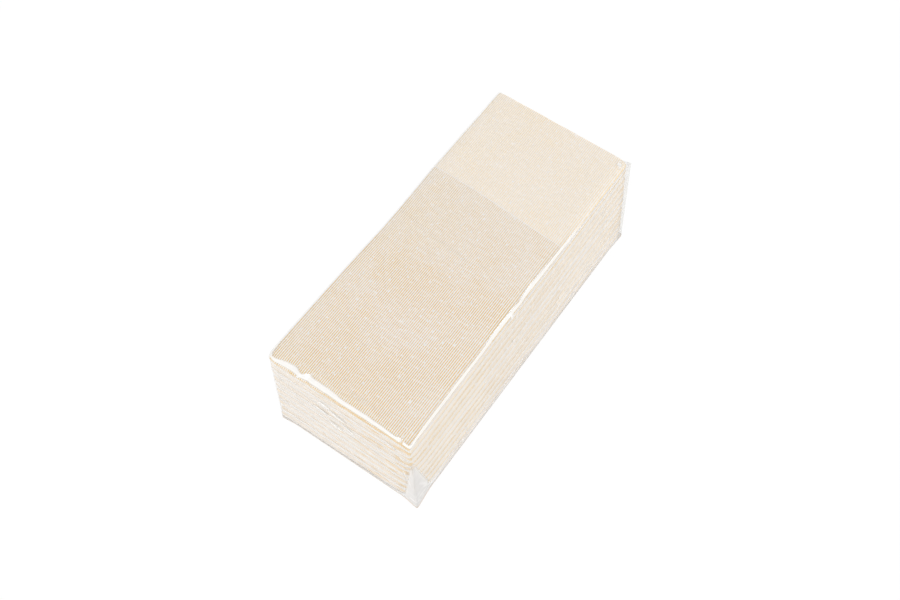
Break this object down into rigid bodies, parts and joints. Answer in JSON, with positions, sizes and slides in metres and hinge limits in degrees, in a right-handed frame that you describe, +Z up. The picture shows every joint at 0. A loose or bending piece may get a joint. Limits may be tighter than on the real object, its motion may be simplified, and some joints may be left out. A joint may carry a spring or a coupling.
{
  "type": "wrapped stack of paper napkins",
  "caption": "Stack of folded striped paper dinner napkins with cutlery pockets, wrapped in tight clear film.",
  "frame": {"origin": "middle of the pack's underside", "axes": "+Z up, +Y along the length towards the end where the top napkin's pocket opens"},
  "size_m": [0.087, 0.201, 0.0659],
  "materials": {
    "printed_paper": "matte, striped print",
    "clear_film": "clear, glossy"
  },
  "bodies": {
    "root": {"napkin_01": "printed_paper", "napkin_02": "printed_paper", "napkin_03": "printed_paper", "napkin_04": "printed_paper", "napkin_05": "printed_paper", "napkin_06": "printed_paper", "napkin_07": "printed_paper", "napkin_08": "printed_paper", "napkin_09": "printed_paper", "napkin_10": "printed_paper", "napkin_11": "printed_paper", "napkin_12": "printed_paper", "napkin_13": "printed_paper", "napkin_14": "printed_paper", "napkin_15": "printed_paper", "napkin_16": "printed_paper", "napkin_17": "printed_paper", "napkin_18": "printed_paper", "napkin_19": "printed_paper", "napkin_20": "printed_paper", "film_wrap": "clear_film"}
  },
  "joints": []
}
